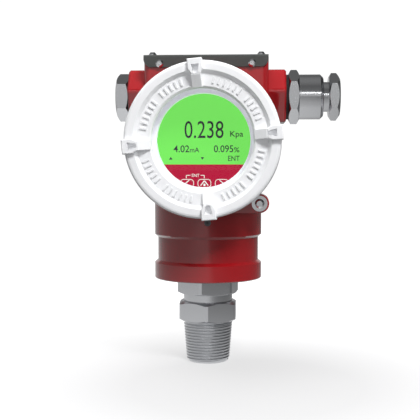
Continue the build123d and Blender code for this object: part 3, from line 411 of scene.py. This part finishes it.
def lettering(name, text, left, right, low, high, finish, weight=0.0):
    """Flat printed characters that fill a box on the display, given in millimetres."""
    curve = bpy.data.curves.new(name, "FONT")
    curve.body = text
    curve.offset = weight
    curve.resolution_u = TEXT_RESOLUTION
    source = bpy.data.objects.new(name + "_source", curve)
    scene.collection.objects.link(source)
    bpy.context.view_layer.update()
    mesh = bpy.data.meshes.new_from_object(source.evaluated_get(bpy.context.evaluated_depsgraph_get()))
    bpy.data.objects.remove(source)
    xs = [vert.co.x for vert in mesh.vertices]
    ys = [vert.co.y for vert in mesh.vertices]
    for vert in mesh.vertices:
        x = left + (vert.co.x - min(xs)) / (max(xs) - min(xs)) * (right - left)
        z = low + (vert.co.y - min(ys)) / (max(ys) - min(ys)) * (high - low)
        vert.co = Vector((x * MM, DISPLAY_Y, z * MM))
    new_piece(name, mesh, finish, "housing")


def flat_piece(name, outlines, y, finish, body):
    """Flat printed shapes from closed outlines of (x, z) points in millimetres."""
    mesh = bmesh.new()
    for outline in outlines:
        verts = [mesh.verts.new((x * MM, y, z * MM)) for x, z in outline]
        mesh.faces.new(verts)
    bmesh.ops.recalc_face_normals(mesh, faces=mesh.faces[:])
    made = bpy.data.meshes.new(name)
    mesh.to_mesh(made)
    mesh.free()
    new_piece(name, made, finish, body)


def stroke(points, width):
    """Outlines of a line of even width through points."""
    outlines = []
    for (x0, z0), (x1, z1) in zip(points, points[1:]):
        length = math.hypot(x1 - x0, z1 - z0)
        nx = -(z1 - z0) / length * width / 2
        nz = (x1 - x0) / length * width / 2
        outlines.append([(x0 + nx, z0 + nz), (x0 - nx, z0 - nz), (x1 - nx, z1 - nz), (x1 + nx, z1 + nz)])
    return outlines


def rounded_ring(x, z, width, height, radius, line):
    """Outlines that together make the rounded edge line of a key."""
    points = []
    for corner, (sx, sz) in enumerate(((1, 1), (-1, 1), (-1, -1), (1, -1))):
        for step in range(CORNER_STEPS + 1):
            angle = math.pi / 2 * (corner + step / CORNER_STEPS)
            cx = x + sx * (width / 2 - radius)
            cz = z + sz * (height / 2 - radius)
            points.append((cx + radius * math.cos(angle), cz + radius * math.sin(angle)))
    points.append(points[0])
    return stroke(points, line)


def disc(x, z, radius):
    """Outline of a small dot."""
    angles = [2 * math.pi * step / DISC_CORNERS for step in range(DISC_CORNERS)]
    return [(x + radius * math.cos(angle), z + radius * math.sin(angle)) for angle in angles]


def outward_arrow(side):
    """The sign on the left or the right key, by side -1 or 1."""
    return stroke([(side * 6.9, 88.6), (side * 8.7, KEY_MIDDLE_Z), (side * 6.9, 85.8)], width=0.42)


def up_sign():
    """The sign on the middle key: a roof over a dot."""
    return stroke([(-1.75, 86.2), (0.0, 88.4), (1.75, 86.2)], width=0.45) + [disc(0.0, 86.5, radius=0.55)]


def print_display():
    """Readings on the display, and the marks over and on the keys."""
    for name, text, left, right, low, high, weight in TEXTS:
        lettering(name, text, left, right, low, high, "lcd_digits", weight)
    flat_piece("arrow_marks", ARROW_MARKS, DISPLAY_Y, "lcd_digits", "housing")
    lettering("key_word", "ENT", -5.75, -2.3, 90.15, 91.5, "key_print")
    bracket = stroke([(-8.3, 89.5), (-8.3, 90.85), (-6.4, 90.85)], width=0.3)
    bracket += stroke([(-1.7, 90.85), (-0.1, 90.85), (-0.1, 89.5)], width=0.3)
    flat_piece("key_bracket", bracket, DISPLAY_Y, "key_print", "housing")
    signs = {
        "key_left": (-KEY_SPACING, outward_arrow(-1)),
        "key_middle": (0.0, up_sign()),
        "key_right": (KEY_SPACING, outward_arrow(1)),
    }
    for body, (x, sign) in signs.items():
        outline = rounded_ring(x, KEY_MIDDLE_Z, width=5.9, height=3.6, radius=1.4, line=0.28)
        flat_piece(body + "_print", outline + sign, KEY_Y, "key_print", body)


# What the object's gloss mirrors: (place, brightness) stops. The studio's run over the height and the side
# of the direction, and the floor's over the distance from the object's axis and over x, in metres
STUDIO_SPAN = (-1.0, 1.0)
STUDIO_BY_HEIGHT = ((-1.0, 0.5), (0.03, 0.60), (0.08, 0.64), (0.28, 0.62), (0.36, 0.20), (0.8, 0.15),
                    (1.0, 0.26))
STUDIO_BY_SIDE = ((-1.0, 0.72), (-0.4, 0.95), (0.15, 0.9), (0.55, 0.22), (1.0, 0.22))
FLOOR_DISTANCE_SPAN = (0.0, 2.0)
FLOOR_BY_DISTANCE = ((0.0, 0.9), (0.09, 0.9), (0.15, 0.75), (0.4, 0.60), (2.0, 0.60))
FLOOR_SIDE_SPAN = (-0.5, 0.5)
FLOOR_BY_SIDE = ((-0.5, 0.7), (-0.2, 0.95), (0.02, 0.9), (0.11, 0.4), (0.35, 0.2))
FLOOR_SIZE = 80.0
# The floor glows in the picture, less inside so that the shadow shows. Further out the glow is a painted
# light that whitens away the object's shadow, and the shift puts its middle in front of the object, so that
# the shadow behind it is painted out. Distances are in metres from a middle that lies on the other side of
# the origin than the shift
GLOW_SHIFT = (-0.02, 0.05, 0.0)
GLOW_INNER = 0.05
GLOW_OUTER = 0.22
GLOW_INNER_STRENGTH = 0.60
GLOW_OUTER_STRENGTH = 1.03


def graded(tree, value, span, stops):
    """Brightness along a length or height, from (place, brightness) stops."""
    ramp = tree.add("ShaderNodeValToRGB", Fac=tree.ranged(value, span[0], span[1], 0.0, 1.0))
    places = [(place - span[0]) / (span[1] - span[0]) for place, _ in stops]
    ramp.color_ramp.elements[0].position = places[0]
    ramp.color_ramp.elements[1].position = places[-1]
    for place in places[1:-1]:
        ramp.color_ramp.elements.new(place)
    for element, (_, light) in zip(ramp.color_ramp.elements, stops):
        element.color = (light, light, light, 1.0)
    return ramp.outputs[0]


def make_world():
    """White behind the object, and a studio round it in reflections."""
    world = bpy.data.worlds.new("studio")
    scene.world = world
    tree = Tree(world)
    direction = tree.add("ShaderNodeTexCoord").outputs["Generated"]
    parts = tree.add("ShaderNodeSeparateXYZ", Vector=direction)
    by_height = graded(tree, parts.outputs[2], STUDIO_SPAN, STUDIO_BY_HEIGHT)
    by_side = graded(tree, parts.outputs[0], STUDIO_SPAN, STUDIO_BY_SIDE)
    mirrored = tree.add("ShaderNodeBackground", Color=by_height, Strength=by_side)
    ambient = tree.add("ShaderNodeBackground", Color=(0.95, 0.97, 1.0, 1.0), Strength=0.13)
    seen = tree.add("ShaderNodeBackground", Color=WHITE, Strength=1.05)
    path = tree.add("ShaderNodeLightPath")
    lighting = tree.mix_shader(path.outputs["Is Glossy Ray"], ambient, mirrored)
    direct = tree.math("MAXIMUM", path.outputs["Is Camera Ray"], path.outputs["Is Transmission Ray"])
    tree.show(tree.mix_shader(direct, lighting, seen), "ShaderNodeOutputWorld")


def make_floor():
    """Pale floor that keeps the soft shadow under the thread, and further out glows white, a painted light
    over the shadow that falls there.
    """
    bpy.ops.mesh.primitive_plane_add(size=FLOOR_SIZE, location=(0, 0, 0))
    floor = bpy.context.active_object
    floor.name = "floor"
    material = bpy.data.materials.new("floor_white")
    tree = Tree(material)
    place = tree.add("ShaderNodeTexCoord").outputs["Object"]
    path = tree.add("ShaderNodeLightPath")
    in_camera = path.outputs["Is Camera Ray"]

    grain = tree.add("ShaderNodeTexNoise", Vector=place, Scale=300.0).outputs[0]
    relief = tree.add("ShaderNodeBump", Strength=0.01, Distance=0.1 * MM, Height=grain)
    color = tree.mix_color(in_camera, (0.09, 0.09, 0.091, 1.0), (0.2, 0.2, 0.203, 1.0))
    paint = tree.add("ShaderNodeBsdfDiffuse", Color=color, Normal=relief.outputs[0])
    # Painted light: the glow grows from a middle in front of the object and paints out the shadow behind it
    moved = tree.add("ShaderNodeMapping", Vector=place, Location=GLOW_SHIFT)
    glow = tree.ranged(tree.length(moved.outputs[0]), GLOW_INNER, GLOW_OUTER, GLOW_INNER_STRENGTH,
                       GLOW_OUTER_STRENGTH)
    light = tree.add("ShaderNodeEmission", Color=WHITE, Strength=tree.math("MULTIPLY", glow, in_camera))
    bright = tree.add("ShaderNodeAddShader")
    tree.link(paint.outputs[0], bright.inputs[0])
    tree.link(light.outputs[0], bright.inputs[1])

    parts = tree.add("ShaderNodeSeparateXYZ", Vector=place)
    by_distance = graded(tree, tree.length(place), FLOOR_DISTANCE_SPAN, FLOOR_BY_DISTANCE)
    by_side = graded(tree, parts.outputs[0], FLOOR_SIDE_SPAN, FLOOR_BY_SIDE)
    mirrored = tree.add("ShaderNodeEmission", Color=by_distance, Strength=by_side)
    reflected = tree.math("MAXIMUM", path.outputs["Is Glossy Ray"], path.outputs["Is Transmission Ray"])
    tree.show(tree.mix_shader(reflected, bright, mirrored))
    floor.data.materials.append(material)


# Of each lamp: place, width and height in metres, power in watts, and whether gloss mirrors it
LAMPS = {
    "front_lamp": ((0.35, -0.75, 0.9), 0.35, 0.3, 13.0, False),
    "top_lamp": ((-0.2, 0.1, 1.2), 1.1, 0.8, 14.5, False),
    "strip_lamp": ((0.0, -1.4, 0.55), 1.8, 0.05, 1.6, True),
    "right_lamp": ((1.0, -0.2, 0.25), 0.4, 0.6, 2.5, False),
}
LAMP_TARGET = (0.0, 0.0, 0.1)


def make_lamps():
    """Soft rectangles that point at the object.

    The key lamp is in front at the upper right, a broad one above, a strip in front and a weak one at the
    right.
    """
    for name, (place, width, height, power, glossy) in LAMPS.items():
        data = bpy.data.lights.new(name, "AREA")
        data.shape = "RECTANGLE"
        data.size = width
        data.size_y = height
        data.energy = power
        lamp = bpy.data.objects.new(name, data)
        scene.collection.objects.link(lamp)
        lamp.location = place
        aim = Vector(LAMP_TARGET) - Vector(place)
        lamp.rotation_mode = "QUATERNION"
        lamp.rotation_quaternion = aim.to_track_quat("-Z", "Y")
        lamp.visible_glossy = glossy
        lamp.visible_camera = False
        lamp.visible_transmission = False


CAMERA_PLACE = (0.02496, -0.41665, 0.0939)
CAMERA_DOWN_DEGREES = 2.77
CAMERA_TURN_DEGREES = 3.3
CAMERA_LENS = 73.3
CAMERA_SENSOR = 36.0


def make_camera():
    """The camera in front, a little to the right, pitched slightly down."""
    data = bpy.data.cameras.new("camera")
    data.sensor_width = CAMERA_SENSOR
    data.lens = CAMERA_LENS
    data.clip_start = 0.01
    data.clip_end = 100.0
    camera = bpy.data.objects.new("camera", data)
    scene.collection.objects.link(camera)
    camera.location = CAMERA_PLACE
    camera.rotation_euler = (math.radians(90 - CAMERA_DOWN_DEGREES), 0.0, math.radians(CAMERA_TURN_DEGREES))
    scene.camera = camera


paint_nodes()
build_adapter()
narrow_retainer()
print_display()
make_world()
make_floor()
make_lamps()
make_camera()
scene.view_settings.view_transform = "Standard"
